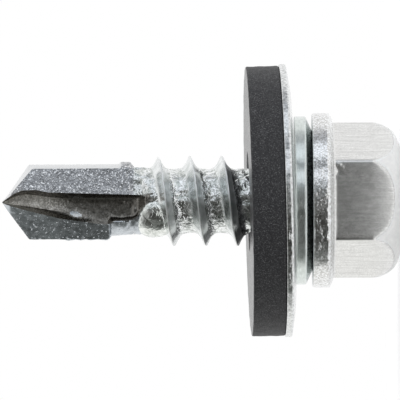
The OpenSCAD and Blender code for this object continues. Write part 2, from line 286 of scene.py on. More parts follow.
def build_thread():
    """Closed skin of the core and its thread, a column of points for each step of the turn."""
    p_n = len(PROFILE)
    turn0 = math.floor((THREAD_FROM - CREST_Z0) / PITCH) - 1
    turn1 = math.floor((THREAD_TO - CREST_Z0) / PITCH)
    row0, row1 = turn0 * p_n, (turn1 + 1) * p_n
    rows = row1 - row0 + 1

    def column(c, count):
        row = np.arange(row0, row0 + count)
        turn = row // p_n
        p = PROFILE[row - turn * p_n]
        a = 360.0 * c / TURN_STEPS
        after = p > PITCH / 2
        z = CREST_Z0 + PITCH * (turn + a / 360) + p
        core = np.clip(CORE_R - 5 * np.maximum(z - NECK_Z - 0.12, 0), 0.3, None)
        share = ridge_share(np.where(after, PITCH - p, p))
        crest = crest_at(a + 360 * (turn + after))
        r = core + share * np.maximum(crest - core, 0)
        x, y = np.cos(math.radians(a)), np.sin(math.radians(a))
        pts = np.stack([r * x, r * y, z], 1)
        rough = smooth(-share, -0.3, -0.02)
        dent = 0.05 * noise(pts, 0.36, 11) + 0.025 * noise(pts, 0.17, 12)
        nick = 0.02 * noise(pts, 0.45, 13) * smooth(share, 0.6, 1)
        r = r + (rough * dent + nick) * (z < NECK_Z + 0.4)
        return np.stack([r * x, r * y, z], 1)

    parts = [column(0, rows + p_n)] + [column(c, rows) for c in range(1, TURN_STEPS)]
    verts = np.concatenate(parts)
    low = len(verts)
    ends = np.array([[0, 0, CREST_Z0 + PITCH * (turn0 + 0.5)], [0, 0, CREST_Z0 + PITCH * (turn1 + 1.5)]])
    verts = np.concatenate([verts, ends])

    def index(c, row):
        if c == 0:
            return row - row0
        if c < TURN_STEPS:
            return rows + p_n + (c - 1) * rows + row - row0
        return row + p_n - row0

    faces, kinds = [], []
    for c in range(TURN_STEPS):
        for row in range(row0, row1):
            faces.append((index(c, row), index(c + 1, row), index(c + 1, row + 1), index(c, row + 1)))
            p = PROFILE[row % p_n]
            # Flanks on the head's side take a less metallic copy of the flank finish, so their colour shows:
            # painted light on their shaded side
            flank = FLANK if p < PITCH / 2 else LIGHTENED_HEAD_FLANK
            p = min(p, PITCH - p)
            kinds.append(CREST if p <= CREST_W / 2 else flank if p < FLANK_W else VALLEY)
    for c in range(TURN_STEPS):
        faces.append((low, index(c + 1, row0), index(c, row0)))
        faces.append((low + 1, index(c, row1), index(c + 1, row1)))
        kinds += [VALLEY, VALLEY]
    for row in range(row0, row0 + p_n):
        faces.append((low, index(0, row), index(0, row + 1)))
        kinds.append(VALLEY)
    for row in range(row1, row1 + p_n):
        faces.append((low + 1, index(0, row + 1), index(0, row)))
        kinds.append(VALLEY)
    return verts, faces, kinds


# Drill point: outlines across the screw, at distances back from the tip

# Each table holds (distance back from the tip, value)
# Heel of the upper land: place across, and depth
HEEL_X = [[0, 0], [0.35, 0.24], [0.75, 0.5], [1.2, 0.68], [2, 0.71], [2.8, 0.56], [5.8, 0.46], [8.4, 0.38]]
HEEL_D = [[0, 0.05], [0.2, 0.45], [0.55, 0.95], [0.9, 1.22], [1.3, 1.36], [2, 1.38], [8.4, 1.42]]
# Floor of the flute: its upper and lower side across, and its depth
HIGH_X = [[0, 0], [0.75, 0.28], [1.35, 0.38], [2.2, 0.26], [3.4, 0.1], [8.4, 0.1]]
LOW_X = [[0, 0], [1.35, -0.09], [2.2, -0.24], [3.4, -0.45], [5.8, -0.84], [7, -0.95], [7.8, -0.85],
         [8.4, -0.4]]
FLOOR_D = [[0, 0], [0.35, 0.2], [0.75, 0.33], [1.35, 0.42], [2.6, 0.46], [4, 0.5], [5.8, 0.58], [7.6, 0.72],
           [8.05, 0.9], [8.3, 1.5], [8.42, 2.2]]
# Edge between the rake face and the flute, across
EDGE_X = [[0, 0], [0.1, -0.08], [1.06, -0.39], [2.2, -0.68], [3.4, -0.98], [5.8, -1.33], [6.3, -1.33],
          [6.6, -1.15], [7.6, -1.1], [8, -0.9], [8.4, -0.3]]
# Share of its full height that the rake face has reached
LIP_RISE = [[0, 0.12], [0.1, 0.4], [0.3, 0.85], [0.5, 1.0]]
RAKE_SLOPE = 0.7
# Step between the rake face and its corner
MARGIN_D = 0.14
# Radius of the point gained for each millimetre back
CORNER_SLOPE = 1.38
# Distances back from the tip: ends of the lands, the plain margin and the lighter floor, and the bead
UPPER_END = 7.66
LOWER_END = 6.3
MARGIN_END = 7
LIGHT_FLOOR_END = 5.2
BEAD_BACK = 4.3
# Knee of the upper land: distance back and place across where it starts, gain across for each
# millimetre back, place across and depth where it stops, and where the land's top becomes round
KNEE_BACK = 0.55
KNEE_X = 0.49
KNEE_SLOPE = 1.147
KNEE_END_X = 1.95
KNEE_END_D = 1.02
ROUND_BACK = 1.84
# Columns of the flute that are its floor
FLOOR_COLUMNS = range(9, 23)


def along(table, back):
    """The value of a table of (distance back, value) at this distance."""
    x, y = zip(*table)
    return float(np.interp(back, x, y))


def lerp(a, b, n):
    """n points from a, up to but without b."""
    t = np.arange(n) / n
    return np.outer(1 - t, a) + np.outer(t, b)


def on_arc(a, b, n):
    """n points from a towards b, turning about the axis."""
    ra, rb = math.hypot(*a), math.hypot(*b)
    ta, tb = math.atan2(a[1], a[0]), math.atan2(b[1], b[0])
    t = np.arange(n) / n
    r, ang = ra + (rb - ra) * t, ta + (tb - ta) * t
    return np.stack([r * np.cos(ang), r * np.sin(ang)], 1)


def curve(points, n):
    """n points along a smooth curve through these, without the last one."""
    pts = np.asarray(points, float)
    gaps = np.sqrt(np.maximum(np.hypot(*np.diff(pts, axis=0).T), 1e-4))
    t = np.concatenate([[0], np.cumsum(gaps)])
    u = np.arange(n) / n * t[-1]
    slopes = np.gradient(pts, t, axis=0)
    out = []
    for v in u:
        i = min(int(np.searchsorted(t, v, side="right")) - 1, len(t) - 2)
        h = t[i + 1] - t[i]
        s = (v - t[i]) / h
        a = (2 * s ** 3 - 3 * s ** 2 + 1) * pts[i] + (s ** 3 - 2 * s ** 2 + s) * h * slopes[i]
        out.append(a + (3 * s ** 2 - 2 * s ** 3) * pts[i + 1] + (s ** 3 - s ** 2) * h * slopes[i + 1])
    return np.array(out)


# Points of half an outline on the rake face, the flute, the land and the land's top
RAKE_N, TROUGH_N, LAND_N, TOP_N = 26, 34, 26, 16


def half_outline(back, low_end, high_end):
    """Half of an outline, as (across, depth) from the lower corner to just short of the upper one."""
    # Rake face, from the lower corner to its edge at the flute
    corner = min(CORNER_SLOPE * back, DRILL_R)
    low_t = float(smooth(back, low_end, low_end + 0.14))
    rise = along(LIP_RISE, back)
    lip = (DRILL_R - corner) * RAKE_SLOPE * rise
    margin = MARGIN_D * float(smooth(back, 2.9, 3.5))
    start = np.array([-math.sqrt(corner ** 2 - margin ** 2), lip + margin])
    edge_x = along(EDGE_X, back)
    edge = np.array([edge_x, ((DRILL_R + edge_x) * RAKE_SLOPE + 0.12) * rise])
    neck = NECK_R + 0.1 * (1 - float(smooth(back, low_end, low_end + 1.6)))
    flat_rake = np.concatenate([lerp((-corner, lip), start, 3), lerp(start, edge, RAKE_N - 3)])
    edge_round = np.array([edge[0], math.sqrt(max(neck ** 2 - edge[0] ** 2, 0.01))])
    round_rake = on_arc((-neck, 0), edge_round, RAKE_N)
    rake = flat_rake * (1 - low_t) + round_rake * low_t
    edge = edge * (1 - low_t) + edge_round * low_t

    # Upper land, from its heel over the knee of the relief to the corner
    heel = np.array([along(HEEL_X, back), along(HEEL_D, back)])
    top = np.array([corner, -lip])
    if back < KNEE_BACK:
        knee = heel + (top - heel) * 0.5
    else:
        knee_x = min(max(KNEE_X + (back - KNEE_BACK) * KNEE_SLOPE, heel[0] + 1e-3), KNEE_END_X)
        knee_d = heel[1] + (KNEE_END_D - heel[1]) * (knee_x - heel[0]) / (KNEE_END_X - heel[0])
        knee = np.array([knee_x, knee_d])
    bump = 0.13 * float(smooth(back, 6.9, 7.0)) * (1 - float(smooth(back, high_end - 0.05, high_end)))
    land = lerp(heel, knee, LAND_N)
    arc = on_arc(knee, top, TOP_N) if back > ROUND_BACK else lerp(knee, top, TOP_N)
    arc = arc * (1 + bump * np.sin(np.linspace(0, math.pi / 2, TOP_N))[:, None] / DRILL_R)
    upper = np.concatenate([land, arc])
    share = np.clip((upper[:, 0] - heel[0]) / (DRILL_R - heel[0]), 0, 1)
    # The land ends on a slant, first at its corner
    heel_end = high_end + 0.62
    ends = heel_end + (high_end - heel_end) * share ** 1.3
    width = 0.5 + (0.12 - 0.5) * share
    t = np.array([float(smooth(back, e, e + w)) for e, w in zip(ends, width)])[:, None]
    round_r = CORE_R + 0.02
    upper_round = upper / np.maximum(np.hypot(upper[:, 0], upper[:, 1]), 1e-6)[:, None] * round_r
    upper = upper * (1 - t) + upper_round * t
    heel = upper[0]

    # Flute
    depth = along(FLOOR_D, back)
    x1, x2 = along(LOW_X, back), along(HIGH_X, back)
    x1 = max(x1, edge[0] * 0.92)
    low_wall = (0.45 * edge[0] + 0.55 * x1, depth + 0.22 * (edge[1] - depth))
    high_wall = (0.35 * x2 + 0.65 * heel[0], depth + 0.3 * (heel[1] - depth))
    inside = [edge, low_wall, (x1, depth), ((x1 + x2) / 2, depth * 0.93), (x2, depth), high_wall, heel]
    trough = curve(inside, TROUGH_N)
    limit = NECK_R if back > 5 else DRILL_R
    room = np.sqrt(np.maximum(limit ** 2 - trough[:, 0] ** 2, 0.0001))
    trough[:, 1] = np.minimum(trough[:, 1], room)
    return np.concatenate([rake, trough, upper])


def drill_outline(back):
    """The whole outline across the drill point, at a distance back from the tip."""
    front = half_outline(back, LOWER_END, UPPER_END)
    rear = half_outline(back, UPPER_END, LOWER_END)
    # Across is +X and depth is towards the camera, which is -Y
    return np.concatenate([np.stack([front[:, 0], -front[:, 1]], 1), np.stack([-rear[:, 0], rear[:, 1]], 1)])


def build_drill():
    """Closed skin of the drill point, from the tip back into the core."""
    backs = np.concatenate([[0.03, 0.07, 0.12, 0.18, 0.25, 0.33, 0.42], np.arange(0.5, 2.2, 0.07),
                            np.arange(2.2, 6.2, 0.1), np.arange(6.2, 8.9, 0.06)])
    outlines = [drill_outline(float(b)) for b in backs]
    n = len(outlines[0])
    half = n // 2
    # Smoothing along the screw takes the corners off the tables' steps
    stack = np.array(outlines)
    column = np.arange(n) % half
    trough = (column >= RAKE_N) & (column < RAKE_N + TROUGH_N)
    for _ in range(2):
        inner = stack.copy()
        mean = (stack[:-2] + 2 * stack[1:-1] + stack[2:]) / 4
        inner[1:-1][:, trough] = mean[:, trough]
        stack = inner
    foot_z = TIP_Z - backs[-1] - 0.25
    rings = [np.column_stack([s, np.full(n, TIP_Z - b)]) for s, b in zip(stack, backs)]
    rings.append(np.column_stack([0.8 * stack[-1], np.full(n, foot_z)]))
    verts = np.concatenate(rings)
    back = TIP_Z - verts[:, 2]
    column = np.tile(column, len(rings))
    in_trough = (column > RAKE_N) & (column < RAKE_N + TROUGH_N)
    r = np.maximum(np.hypot(verts[:, 0], verts[:, 1]), 0.05)
    out = verts[:, :2] / r[:, None]
    # Forged skin, torn metal where the lands end, and burrs along the lower corner
    grain = 0.010 * noise(verts, 0.22, 21) + 0.005 * noise(verts, 0.1, 22)
    grain += in_trough * 0.014 * noise(verts * np.array([1, 1, 0.5]), 0.16, 23)
    tear = smooth(back, 6.6, 7.6) * 0.035 * noise(verts * np.array([0.7, 0.7, 1.4]), 0.22, 24)
    burr = np.exp(-((column - 1.0) / 1.6) ** 2) * smooth(back, 3.2, 3.8) * (1 - smooth(back, 6.2, 6.3))
    burr = burr * (0.05 + 0.05 * noise(verts, 0.25, 25)) * (verts[:, 0] < 0)
    push = (grain + tear) * smooth(back, 0.2, 0.8) + burr
    verts[:, :2] += out * push[:, None]
    # A small bead low in the flute, on both sides
    side = -np.sign(verts[:, 1])
    along_x = (verts[:, 0] * side + 0.74 + 0.2 * (back - BEAD_BACK)) / 0.15
    bead = np.exp(-along_x ** 2 - ((back - BEAD_BACK) / 0.36) ** 2) * in_trough
    verts[:, 1] -= side * 0.1 * bead
    verts = np.concatenate([verts, [[0, 0, TIP_Z], [0, 0, foot_z]]])
    faces = ring_faces(len(rings), n)
    # Faces high on the bead get a pale bluish, partly metallic finish: a painted highlight
    painted_highlight = bead.reshape(len(rings), n) > 0.4
    kinds = []
    for i in range(len(rings) - 1):
        for j in range(n):
            c = j % half
            if painted_highlight[i, j]:
                kind = HIGHLIGHT_SPOT
            elif c < RAKE_N:
                kind = RAKE
            elif c < RAKE_N + TROUGH_N:
                on_floor = c - RAKE_N in FLOOR_COLUMNS and backs[i] < LIGHT_FLOOR_END
                kind = FLUTE_FLOOR if on_floor else FLUTE
            else:
                on_margin = c >= RAKE_N + TROUGH_N + LAND_N and backs[i] < MARGIN_END
                past_end = backs[i] > (UPPER_END if j < half else LOWER_END) + 0.06
                kind = PLAIN if on_margin else VALLEY if past_end else LAND
            kinds.append(kind)
    kinds += [LAND, LAND] * n
    # The rings go back from the tip, so the outward side is the other way round
    return verts, [tuple(reversed(f)) for f in faces], kinds


# Middle of the torn end and how far it reaches: angle from the camera's side, place along Z, radius
TORN_MIDDLE = (-0.8, 14.66, 1.45)
TORN_REACH = (0.84, 1.02, 0.78)


def build_torn_end():
    """Torn end of the thread: a pad that follows the core, with a rounded outline."""
    rings, columns = 40, 60
    a = np.linspace(0, math.pi, rings + 2)[1:-1]
    b = np.linspace(0, 2 * math.pi, columns, endpoint=False)
    # Each point's share of the pad's width and of its height, and its turn round the pad
    spread = np.append(np.repeat(np.sin(a) ** 0.62, columns), [0, 0])
    high = np.append(np.repeat(np.sign(np.cos(a)) * np.abs(np.cos(a)) ** 0.5, columns), [1, -1])
    turn = np.append(np.tile(b, rings), [0, 0])
    angle = TORN_MIDDLE[0] + TORN_REACH[0] * spread * np.cos(turn)
    along_z = TORN_MIDDLE[1] + TORN_REACH[1] * spread * np.sin(turn)
    r = TORN_MIDDLE[2] + TORN_REACH[2] * high
    verts = np.stack([r * np.sin(angle), -r * np.cos(angle), along_z], 1)
    r = r + np.maximum(high, 0) * (0.05 * noise(verts, 0.45, 61) + 0.02 * noise(verts, 0.17, 62))
    verts = np.stack([r * np.sin(angle), -r * np.cos(angle), along_z], 1)
    faces = ring_faces(rings, columns)
    return verts, faces, [TORN] * len(faces)


# Materials

def rgba(colour):
    """A colour with its alpha, or the socket that gives it."""
    return colour if isinstance(colour, bpy.types.NodeSocket) else (*colour, 1.0)


class Shader:
    """A small helper to write node materials in few lines."""

    def __init__(self, name):
        self.mat = bpy.data.materials.new(name)
        self.mat.use_nodes = True
        self.tree = self.mat.node_tree
        self.tree.nodes.clear()
        self.out = self.tree.nodes.new("ShaderNodeOutputMaterial")
        coord = self.tree.nodes.new("ShaderNodeTexCoord")
        self.mm = self.math3("MULTIPLY", coord.outputs["Object"], (1000, 1000, 1000))

    def link(self, value, socket):
        """Gives a socket its value, or the node output that makes it."""
        if isinstance(value, bpy.types.NodeSocket):
            self.tree.links.new(value, socket)
        else:
            socket.default_value = value

    def math3(self, op, a, b):
        """A sum on two vectors."""
        node = self.tree.nodes.new("ShaderNodeVectorMath")
        node.operation = op
        self.link(a, node.inputs[0])
        self.link(b, node.inputs[1])
        return node.outputs[0]

    def math(self, op, a, b):
        """A sum on two numbers."""
        node = self.tree.nodes.new("ShaderNodeMath")
        node.operation = op
        self.link(a, node.inputs[0])
        self.link(b, node.inputs[1])
        return node.outputs[0]

    def grain(self, size, detail, stretch=(1, 1, 1), distortion=0.0):
        """Noise from 0 to 1 with features of this size in millimetres."""
        node = self.tree.nodes.new("ShaderNodeTexNoise")
        node.inputs["Scale"].default_value = 1.0
        node.inputs["Detail"].default_value = detail
        node.inputs["Distortion"].default_value = distortion
        scale = tuple(s / size for s in stretch)
        self.link(self.math3("MULTIPLY", self.mm, scale), node.inputs["Vector"])
        return node.outputs["Fac"]

    def axis(self, name):
        """One of the object's own coordinates, in millimetres."""
        node = self.tree.nodes.new("ShaderNodeSeparateXYZ")
        self.link(self.mm, node.inputs[0])
        return node.outputs[name]

    def span(self, value, low, high, to_low, to_high):
        """The value, carried from one range over to another."""
        node = self.tree.nodes.new("ShaderNodeMapRange")
        for name, v in (("From Min", low), ("From Max", high), ("To Min", to_low), ("To Max", to_high)):
            node.inputs[name].default_value = v
        self.link(value, node.inputs["Value"])
        return node.outputs["Result"]

    def mix(self, fac, a, b):
        """A colour between a and b."""
        node = self.tree.nodes.new("ShaderNodeMix")
        node.data_type = "RGBA"
        self.link(fac, node.inputs["Factor"])
        sockets = [s for s in node.inputs if s.type == "RGBA"]
        for socket, colour in zip(sockets, (a, b)):
            self.link(rgba(colour), socket)
        return [s for s in node.outputs if s.type == "RGBA"][0]

    def bump(self, height, microns, before=None):
        """A normal that shows this height, on top of the one before."""
        node = self.tree.nodes.new("ShaderNodeBump")
        node.inputs["Strength"].default_value = 1.0
        node.inputs["Distance"].default_value = microns * 1e-6
        self.link(height, node.inputs["Height"])
        if before is not None:
            self.link(before, node.inputs["Normal"])
        return node.outputs["Normal"]

    def finish(self, colour, roughness, normal=None, metallic=1.0, specular=None):
        """Ends the material and returns it."""
        node = self.tree.nodes.new("ShaderNodeBsdfPrincipled")
        self.link(rgba(colour), node.inputs["Base Color"])
        self.link(roughness, node.inputs["Roughness"])
        self.link(metallic, node.inputs["Metallic"])
        if specular is not None:
            node.inputs["Specular IOR Level"].default_value = specular
        if normal is not None:
            self.link(normal, node.inputs["Normal"])
        self.tree.links.new(node.outputs["BSDF"], self.out.inputs["Surface"])
        return self.mat


def zinc_top():
    s = Shader("zinc_top")
    g = s.grain(0.25, 3)
    colour = s.mix(s.span(g, 0.3, 0.7, 0, 1), (0.86, 0.86, 0.86), (0.97, 0.97, 0.96))
    return s.finish(colour, s.span(g, 0.3, 0.7, 0.3, 0.42), s.bump(s.grain(0.09, 2), 3))


def zinc_hex():
    s = Shader("zinc_hexagon")
    lines = s.grain(0.07, 2, (1, 1, 0.035))
    blot = s.grain(0.5, 3)
    shade = s.math("ADD", s.math("MULTIPLY", lines, 0.7), s.math("MULTIPLY", blot, 0.3))
    colour = s.mix(s.span(shade, 0.35, 0.65, 0, 1), (0.72, 0.72, 0.71), (0.91, 0.91, 0.9))
    dust = s.grain(0.06, 1)
    colour = s.mix(s.span(dust, 0.35, 0.7, 0, 0.5), colour, (0.45, 0.45, 0.44))
    normal = s.bump(lines, 1.0)
    normal = s.bump(dust, 0.3, normal)
    return s.finish(colour, s.span(blot, 0.3, 0.7, 0.135, 0.155), normal)


def zinc_flange():
    s = Shader("zinc_flange")
    worm = s.grain(0.32, 2, distortion=0.9)
    fine = s.grain(0.1, 2)
    colour = s.mix(s.span(fine, 0.4, 0.6, 0, 1), (0.62, 0.62, 0.61), (0.92, 0.93, 0.94))
    colour = s.mix(s.span(s.grain(0.14, 2), 0.6, 0.68, 0, 0.5), colour, (0.3, 0.29, 0.27))
    normal = s.bump(worm, 15)
    normal = s.bump(fine, 5, normal)
    return s.finish(colour, s.span(fine, 0.3, 0.7, 0.1, 0.18), normal)


def zinc_plain():
    s = Shader("zinc_shank")
    g = s.grain(0.2, 3)
    return s.finish((0.74, 0.75, 0.76), s.span(g, 0.3, 0.7, 0.22, 0.34), s.bump(g, 5))


# With metallic below 1 the colour shows under any light; the head-side copy uses this as painted light
def zinc_flank(name, metallic):
    s = Shader(name)
    lines = s.grain(0.07, 2, (0.1, 0.1, 1))
    big = s.grain(0.5, 2)
    colour = s.mix(s.span(big, 0.35, 0.65, 0, 1), (0.66, 0.69, 0.68), (0.88, 0.9, 0.9))
    normal = s.bump(s.grain(0.35, 2), 9)
    normal = s.bump(lines, 2.2, normal)
    return s.finish(colour, s.span(big, 0.3, 0.7, 0.16, 0.24), normal, metallic=metallic)


def zinc_valley():
    s = Shader("zinc_thread_valley")
    worm = s.grain(0.34, 2, distortion=1.2)
    fine = s.grain(0.12, 2)
    colour = s.mix(s.span(worm, 0.38, 0.58, 0, 1), (0.5, 0.53, 0.51), (0.9, 0.92, 0.92))
    normal = s.bump(worm, 75)
    normal = s.bump(fine, 8, normal)
    return s.finish(colour, s.span(fine, 0.3, 0.7, 0.08, 0.14), normal)


def zinc_crest():
    s = Shader("zinc_thread_crest")
    return s.finish((0.93, 0.94, 0.94), 0.5, s.bump(s.grain(0.1, 2), 6))


def zinc_torn_end():
    s = Shader("zinc_thread_end")
    worm = s.grain(0.42, 2, distortion=1.4)
    colour = s.mix(s.span(worm, 0.4, 0.6, 0, 1), (0.62, 0.65, 0.62), (0.9, 0.92, 0.9))
    return s.finish(colour, s.span(worm, 0.3, 0.7, 0.1, 0.18), s.bump(worm, 45))


def zinc_land():
    s = Shader("zinc_drill_land")
    fleck_and_glint = s.grain(0.105, 1, distortion=0.7)
    fine = s.grain(0.3, 2)
    colour = s.mix(s.span(fine, 0.35, 0.65, 0, 1), (0.27, 0.275, 0.285), (0.43, 0.44, 0.455))
    # Flecks: bumps in the metal, painted near-white on top as glints
    colour = s.mix(s.span(fleck_and_glint, 0.55, 0.66, 0, 1), colour, (0.96, 0.97, 0.98))
    return s.finish(colour, 0.16, s.bump(fleck_and_glint, 34))


def zinc_rake():
    s = Shader("zinc_drill_rake")
    soft = s.grain(0.35, 3)
    chip = s.grain(0.14, 1)
    colour = s.mix(s.span(soft, 0.35, 0.65, 0, 1), (0.44, 0.47, 0.5), (0.62, 0.66, 0.7))
    colour = s.mix(s.span(chip, 0.7, 0.75, 0, 1), colour, (0.95, 0.97, 0.98))
    normal = s.bump(s.span(chip, 0.64, 0.8, 0, 1), 30)
    normal = s.bump(soft, 8, normal)
    return s.finish(colour, s.span(soft, 0.3, 0.7, 0.2, 0.3), normal)


def flute_shade_colour(s):
    """Painted shade for the flute's recess: a dark metal colour with a few bright chips."""
    g = s.grain(0.12, 2)
    chip = s.grain(0.09, 1)
    colour = s.mix(s.span(g, 0.35, 0.65, 0, 1), (0.15, 0.143, 0.13), (0.3, 0.288, 0.265))
    return s.mix(s.span(chip, 0.68, 0.75, 0, 0.6), colour, (0.9, 0.9, 0.88))


# The flute's walls take the dark colour as painted shade
def zinc_flute():
    s = Shader("zinc_drill_flute")
    g = s.grain(0.12, 2)
    return s.finish(flute_shade_colour(s), s.span(g, 0.3, 0.7, 0.24, 0.34), s.bump(g, 9))


# Places along Z between which the flute's floor turns from its painted shade to the lighter tone near the
# tip
TIP_TONE_FADE = (20.9, 22.7)


def zinc_flute_floor():
    s = Shader("zinc_drill_flute_floor")
    g = s.grain(0.09, 3)
    blot = s.grain(0.4, 2)
    tip_tone = s.mix(s.span(g, 0.4, 0.6, 0, 1), (0.5, 0.48, 0.43), (0.97, 0.95, 0.9))
    tip_tone = s.mix(s.span(blot, 0.5, 0.6, 0, 0.6), tip_tone, (0.4, 0.385, 0.35))
    # Lighter towards the tip; further back the floor keeps the flute's painted shade
    place = s.math("ADD", s.axis("Z"), s.math("MULTIPLY", g, 3.0))
    colour = s.mix(s.span(place, *TIP_TONE_FADE, 0, 1), flute_shade_colour(s), tip_tone)
    metallic = s.span(place, *TIP_TONE_FADE, 1.0, 0.2)
    roughness = s.span(place, *TIP_TONE_FADE, 0.3, 0.42)
    return s.finish(colour, roughness, s.bump(g, 20), metallic)


# Pale bluish, partly metallic finish for the bead in the flute: a painted highlight
def zinc_flute_highlight():
    s = Shader("zinc_drill_flute_painted_highlight")
    g = s.grain(0.3, 2)
    colour = s.mix(s.span(g, 0.4, 0.6, 0, 1), (0.6, 0.66, 0.72), (0.93, 0.97, 1.0))
    return s.finish(colour, 0.35, s.bump(g, 10), metallic=0.3)


def zinc_washer():
    s = Shader("zinc_flat_washer")
    streak = s.grain(0.06, 2, (0.12, 0.12, 1))
    blot = s.grain(0.4, 3)
    shade = s.math("ADD", s.math("MULTIPLY", streak, 0.5), s.math("MULTIPLY", blot, 0.5))
    colour = s.mix(s.span(shade, 0.35, 0.65, 0, 1), (0.6, 0.65, 0.63), (0.76, 0.81, 0.79))
    normal = s.bump(streak, 2)
    return s.finish(colour, s.span(blot, 0.3, 0.7, 0.18, 0.23), s.bump(s.grain(0.15, 2), 3, normal))


def zinc_plate():
    s = Shader("zinc_seal_plate")
    g = s.grain(0.14, 3)
    colour = s.mix(s.span(g, 0.35, 0.65, 0, 1), (0.52, 0.53, 0.53), (0.86, 0.87, 0.87))
    normal = s.bump(s.grain(0.4, 2), 8)
    return s.finish(colour, s.span(g, 0.3, 0.7, 0.14, 0.22), s.bump(g, 8, normal))


def rubber():
    s = Shader("rubber_black")
    g = s.grain(0.12, 3)
    glint_speck = s.grain(0.055, 1)
    colour = s.mix(s.span(g, 0.35, 0.7, 0, 1), (0.018, 0.018, 0.02), (0.038, 0.038, 0.041))
    # Light specks painted in as glints on the rubber
    colour = s.mix(s.span(glint_speck, 0.55, 0.72, 0, 0.8), colour, (0.2, 0.2, 0.205))
    return s.finish(colour, 0.62, s.bump(g, 14), metallic=0.0, specular=0.4)


def rubber_face():
    s = Shader("rubber_moulded_face")
    g = s.grain(0.3, 3)
    colour = s.mix(s.span(g, 0.35, 0.7, 0, 1), (0.045, 0.045, 0.047), (0.08, 0.08, 0.082))
    return s.finish(colour, s.span(g, 0.3, 0.7, 0.22, 0.36), s.bump(g, 2), metallic=0.0, specular=0.6)


# Screw piece

SCREW_MATERIALS = [
    zinc_top(), zinc_hex(), zinc_flange(), zinc_plain(), zinc_flank("zinc_thread_flank", 1.0), zinc_valley(),
    zinc_land(), zinc_flute(), zinc_rake(), zinc_flute_floor(), zinc_crest(), zinc_torn_end(),
    zinc_flank("zinc_head_side_flank_painted_light", 0.62), zinc_flute_highlight()]


def union(target, others):
    """Joins closed meshes into one closed skin."""
    for other in others:
        mod = target.modifiers.new("union", "BOOLEAN")
        mod.operation = "UNION"
        mod.solver = "MANIFOLD"
        mod.object = other
        bpy.context.view_layer.update()
        evaluated = target.evaluated_get(bpy.context.evaluated_depsgraph_get())
        mesh = bpy.data.meshes.new_from_object(evaluated)
        target.modifiers.clear()
        target.data = mesh
        bpy.data.objects.remove(other)
    return target


head = make_mesh("screw_skin", *build_head(), SCREW_MATERIALS)
thread = make_mesh("thread_part", *build_thread(), SCREW_MATERIALS)
drill = make_mesh("drill_part", *build_drill(), SCREW_MATERIALS)
torn_end = make_mesh("torn_part", *build_torn_end(), SCREW_MATERIALS)
union(head, [thread, drill, torn_end])
head.data.set_sharp_from_angle(angle=JOINED_SHARP_ANGLE)
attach(head, "screw_body")
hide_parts("screw")


# Washers: turned profiles, each with its own small unevenness

def turned(name, profile, columns, spacing, materials, push, place=None, kind=lambda r, z: 0):
    """A ring turned from a closed profile of (radius, height) points."""
    loop = polyline(profile + [profile[0]], spacing)[:-1]
    theta = np.linspace(0, 2 * math.pi, columns, endpoint=False)
    m = len(loop)
    r = np.array([p[0] for p in loop])[:, None] * np.ones(columns)
    z = np.array([p[1] for p in loop])[:, None] * np.ones(columns)
    verts = np.stack([r * np.cos(theta), r * np.sin(theta), z], 2).reshape(-1, 3)
    verts = push(verts)
    faces, kinds = [], []
    for i in range(m):
        (r0, z0), (r1, z1) = loop[i], loop[(i + 1) % m]
        for j in range(columns):
            a, b = i * columns + j, i * columns + (j + 1) % columns
            c, d = ((i + 1) % m) * columns + (j + 1) % columns, ((i + 1) % m) * columns + j
            faces.append((a, b, c, d))
            kinds.append(kind((r0 + r1) / 2, (z0 + z1) / 2))
    if place is not None:
        verts = (np.asarray(place.to_3x3()) @ verts.T).T + np.asarray(place.translation)
    return make_mesh(name, verts, faces, kinds, materials)


def rounded(corners, radius, steps=3):
    """The closed profile with its corners rounded."""
    out = []
    n = len(corners)
    for i in range(n):
        p, q, s = (np.array(corners[k % n], float) for k in (i - 1, i, i + 1))
        u, v = (p - q) / np.linalg.norm(p - q), (s - q) / np.linalg.norm(s - q)
        reach = min(radius, 0.4 * np.linalg.norm(p - q), 0.4 * np.linalg.norm(s - q))
        for k in range(steps + 1):
            t = k / steps
            out.append(tuple((1 - t) ** 2 * (q + u * reach) + 2 * t * (1 - t) * q + t * t * (q + v * reach)))
    return out


def uneven_rim(v, low, high, push):
    """Moves points outwards by this much, from nothing at the low radius to all of it at the high one."""
    r = np.hypot(v[:, 0], v[:, 1])
    out = v[:, :2] / r[:, None]
    v[:, :2] += out * (smooth(r, low, high) * push)[:, None]
    return v


def push_washer(v):
    """Slightly uneven rim."""
    return uneven_rim(v, 4.2, 4.6, 0.006 * noise(v, 0.5, 31) - 0.006)


washer_top = HEAD_H + WASHER_T
washer_profile = rounded([(WASHER_BORE_R, HEAD_H), (WASHER_CHAMFER_R, HEAD_H),
                          (WASHER_R, HEAD_H + WASHER_CHAMFER_H), (WASHER_R, washer_top),
                          (WASHER_BORE_R, washer_top)], 0.07)
washer = turned("flat_washer_skin", washer_profile, 240, 0.12, [zinc_washer()], push_washer)
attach(washer, "flat_washer_body")
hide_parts("flat_washer")


def push_plate(v):
    """Jagged rim of punched sheet."""
    jag = 0.02 * noise(v, 0.3, 41) + 0.012 * noise(v, 0.12, 42)
    return uneven_rim(v, 7.6, 7.9, jag - 0.03)


# The sealing washer sits on the plain one and leans
lean = Matrix.Rotation(LEAN[1], 4, "Y") @ Matrix.Rotation(LEAN[0], 4, "X")
seat = Matrix.Translation((0, 0, SEAL_Z)) @ lean
plate_profile = rounded([(SEAL_BORE_R, 0), (PLATE_CHAMFER_R, 0), (PLATE_R, PLATE_CHAMFER_H),
                         (PLATE_R, PLATE_T), (SEAL_BORE_R, PLATE_T)], 0.09)
plate = turned("seal_plate_skin", plate_profile, 320, 0.1, [zinc_plate()], push_plate, seat)
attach(plate, "sealing_washer_body")
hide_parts("seal_plate")


